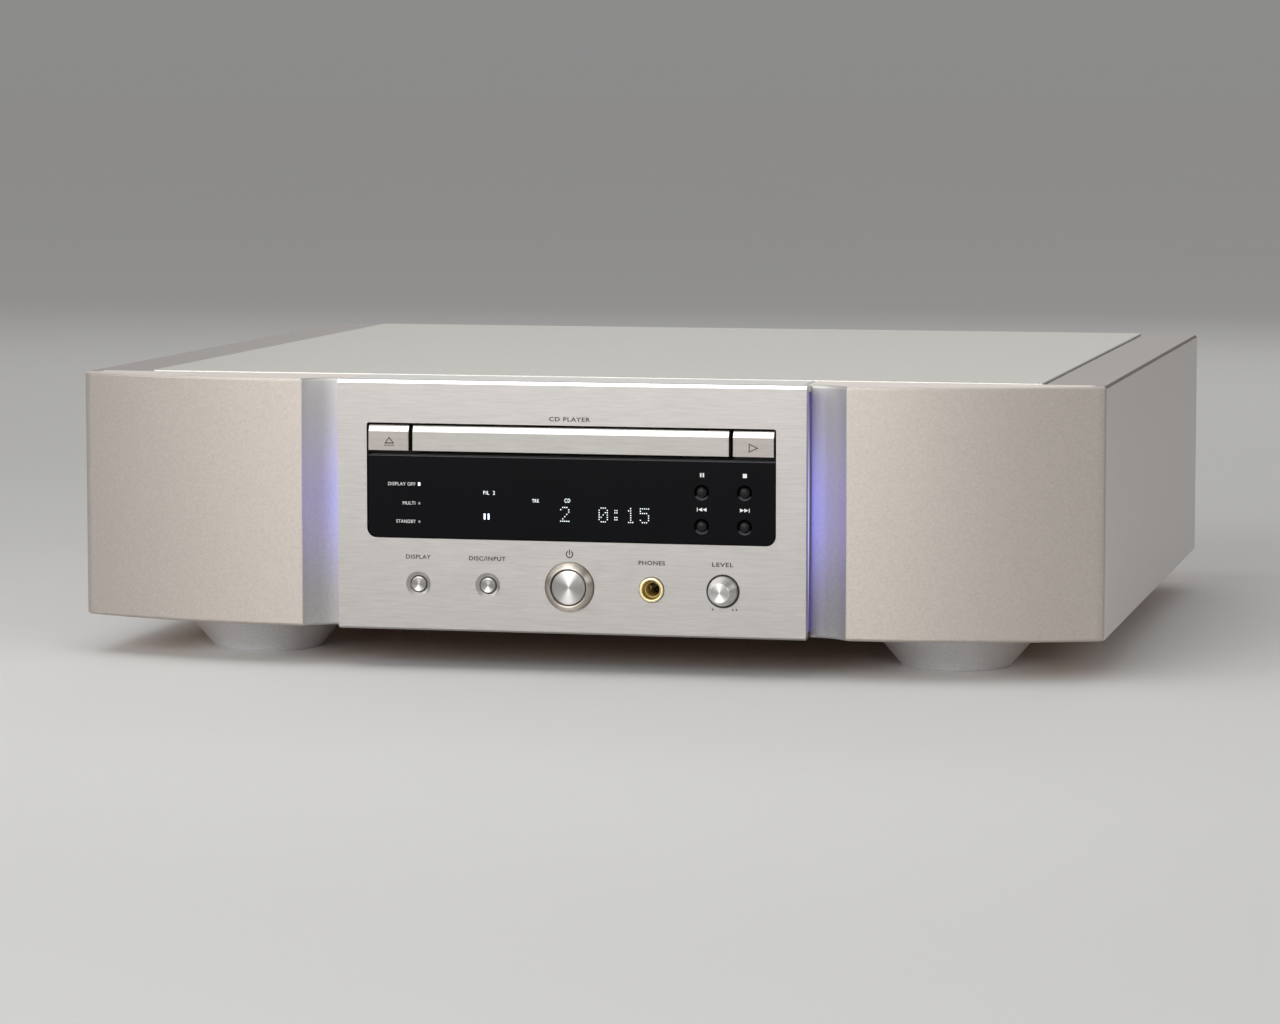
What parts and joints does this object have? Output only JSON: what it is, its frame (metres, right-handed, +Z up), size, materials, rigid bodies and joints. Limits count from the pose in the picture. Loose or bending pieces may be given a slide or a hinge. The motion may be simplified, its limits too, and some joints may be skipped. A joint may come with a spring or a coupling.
{
  "type": "cd player",
  "caption": "Full-width hi-fi CD player with a swept metal front, lit display window, motorised disc tray, push buttons, headphone socket and level knob.",
  "frame": {"origin": "centre of the overall box, on the surface that the feet stand on", "axes": "+X to the right seen from the front, +Y from the front to the rear, +Z up"},
  "size_m": [0.44, 0.419, 0.1225],
  "materials": {
    "champagne_aluminium": "fine bead-blasted champagne anodising",
    "brushed_aluminium": "fine horizontal brushing, light champagne anodising",
    "case_paint": "satin light champagne paint",
    "cast_foot": "satin grey casting",
    "copper_plate": "satin copper plating on steel",
    "inner_steel": "zinc plated",
    "black_plastic": "matt moulded",
    "grey_plastic": "matt moulded",
    "black_acrylic": "polished near-black acrylic",
    "light_guide": "lit blue light guide",
    "gold_plate": "gold plated brass",
    "circuit_board": "green solder resist",
    "belt_rubber": "matt",
    "transformer_can": "copper plated steel can"
  },
  "bodies": {
    "cabinet": {"center_panel": "brushed_aluminium", "left_cheek": "champagne_aluminium", "right_cheek": "champagne_aluminium", "front_frame": "black_plastic", "left_light_guide": "light_guide", "right_light_guide": "light_guide", "top_cover": "case_paint", "left_side_panel": "case_paint", "right_side_panel": "case_paint", "rear_panel": "copper_plate", "chassis_base": "copper_plate", "foot_front_left": "cast_foot", "foot_front_right": "cast_foot", "foot_rear_left": "cast_foot", "foot_rear_right": "cast_foot", "display_window": "black_acrylic", "window_bezel": "black_plastic", "display_module": "grey_plastic", "key_board": "circuit_board", "power_bezel": "champagne_aluminium", "power_switch": "grey_plastic", "phones_socket": "gold_plate", "level_potentiometer": "inner_steel", "loader_frame": "grey_plastic", "clamp_bridge": "inner_steel", "loading_motor": "inner_steel", "loading_belt": "belt_rubber", "power_transformer": "transformer_can", "power_supply_board": "circuit_board", "audio_board": "circuit_board", "digital_board": "circuit_board", "mains_inlet": "black_plastic", "line_output_jacks": "gold_plate", "digital_jacks": "black_plastic", "remote_jacks": "black_plastic"},
    "tray": {"disc_tray": "black_plastic", "tray_door": "brushed_aluminium"},
    "drive_gear": {"tray_drive_gear": "grey_plastic"},
    "pulley_gear": {"tray_pulley_gear": "grey_plastic"},
    "motor_pulley": {"loading_motor_pulley": "grey_plastic"},
    "clamper": {"disc_clamper": "black_plastic"},
    "traverse": {"traverse_plate": "inner_steel", "spindle_motor": "inner_steel", "sled_guide_rod": "inner_steel", "sled_motor": "inner_steel"},
    "platter": {"turntable": "grey_plastic"},
    "pickup": {"optical_pickup": "grey_plastic"},
    "lead_screw": {"sled_lead_screw": "inner_steel"},
    "eject_key": {"eject_button": "brushed_aluminium"},
    "play_key": {"play_button": "brushed_aluminium"},
    "pause_key": {"pause_button": "black_plastic"},
    "stop_key": {"stop_button": "black_plastic"},
    "previous_key": {"previous_button": "black_plastic"},
    "next_key": {"next_button": "black_plastic"},
    "display_key": {"display_button": "brushed_aluminium"},
    "input_key": {"input_button": "brushed_aluminium"},
    "power_key": {"power_button": "brushed_aluminium"},
    "knob": {"level_knob": "brushed_aluminium"}
  },
  "joints": [
    {"name": "tray_slide", "type": "slide", "parent": "cabinet", "child": "tray", "axis": [0, -1, 0], "range_m": [0, 0.148]},
    {"name": "drive_gear_spin", "type": "hinge", "parent": "cabinet", "child": "drive_gear", "pos_m": [0.045, -0.1615, 0.09], "axis": [0, 0, 1], "range_deg": [-720, 0]},
    {"name": "pulley_gear_spin", "type": "hinge", "parent": "cabinet", "child": "pulley_gear", "pos_m": [0.027, -0.1615, 0.09], "axis": [0, 0, 1], "range_deg": [0, 1440]},
    {"name": "motor_pulley_spin", "type": "hinge", "parent": "cabinet", "child": "motor_pulley", "pos_m": [-0.015, -0.1615, 0.088], "axis": [0, 0, 1], "range_deg": [0, 3960]},
    {"name": "traverse_tilt", "type": "hinge", "parent": "cabinet", "child": "traverse", "pos_m": [0, -0.0375, 0.083], "axis": [1, 0, 0], "range_deg": [0, 3.5]},
    {"name": "platter_spin", "type": "hinge", "parent": "traverse", "child": "platter", "pos_m": [0, -0.1135, 0.098], "axis": [0, 0, 1], "continuous": true},
    {"name": "clamper_spin", "type": "hinge", "parent": "cabinet", "child": "clamper", "pos_m": [0, -0.1135, 0.104], "axis": [0, 0, 1], "continuous": true},
    {"name": "pickup_slide", "type": "slide", "parent": "traverse", "child": "pickup", "axis": [0, 1, 0], "range_m": [0, 0.034]},
    {"name": "lead_screw_spin", "type": "hinge", "parent": "traverse", "child": "lead_screw", "pos_m": [0.021, -0.07, 0.0885], "axis": [0, 1, 0], "range_deg": [0, 2100]},
    {"name": "eject_press", "type": "slide", "parent": "cabinet", "child": "eject_key", "axis": [0, 1, 0], "range_m": [0, 0.0012], "stiffness_N_per_m": 500},
    {"name": "play_press", "type": "slide", "parent": "cabinet", "child": "play_key", "axis": [0, 1, 0], "range_m": [0, 0.0012], "stiffness_N_per_m": 500},
    {"name": "pause_press", "type": "slide", "parent": "cabinet", "child": "pause_key", "axis": [0, 1, 0], "range_m": [0, 0.001], "stiffness_N_per_m": 500},
    {"name": "stop_press", "type": "slide", "parent": "cabinet", "child": "stop_key", "axis": [0, 1, 0], "range_m": [0, 0.001], "stiffness_N_per_m": 500},
    {"name": "previous_press", "type": "slide", "parent": "cabinet", "child": "previous_key", "axis": [0, 1, 0], "range_m": [0, 0.001], "stiffness_N_per_m": 500},
    {"name": "next_press", "type": "slide", "parent": "cabinet", "child": "next_key", "axis": [0, 1, 0], "range_m": [0, 0.001], "stiffness_N_per_m": 500},
    {"name": "display_press", "type": "slide", "parent": "cabinet", "child": "display_key", "axis": [0, 1, 0], "range_m": [0, 0.001], "stiffness_N_per_m": 500},
    {"name": "input_press", "type": "slide", "parent": "cabinet", "child": "input_key", "axis": [0, 1, 0], "range_m": [0, 0.001], "stiffness_N_per_m": 500},
    {"name": "power_press", "type": "slide", "parent": "cabinet", "child": "power_key", "axis": [0, 1, 0], "range_m": [0, 0.002], "stiffness_N_per_m": 500},
    {"name": "level_turn", "type": "hinge", "parent": "cabinet", "child": "knob", "pos_m": [0.0652, -0.2045, 0.0366], "axis": [0, 1, 0], "range_deg": [0, 300]}
  ],
  "couplings": [
    {"joint": "drive_gear_spin", "follows": "tray_slide", "rad_per_m": -83.333},
    {"joint": "pulley_gear_spin", "follows": "tray_slide", "rad_per_m": 166.67},
    {"joint": "motor_pulley_spin", "follows": "tray_slide", "rad_per_m": 458.33},
    {"joint": "clamper_spin", "follows": "platter_spin", "ratio": 1},
    {"joint": "lead_screw_spin", "follows": "pickup_slide", "rad_per_m": 1047.2}
  ]
}
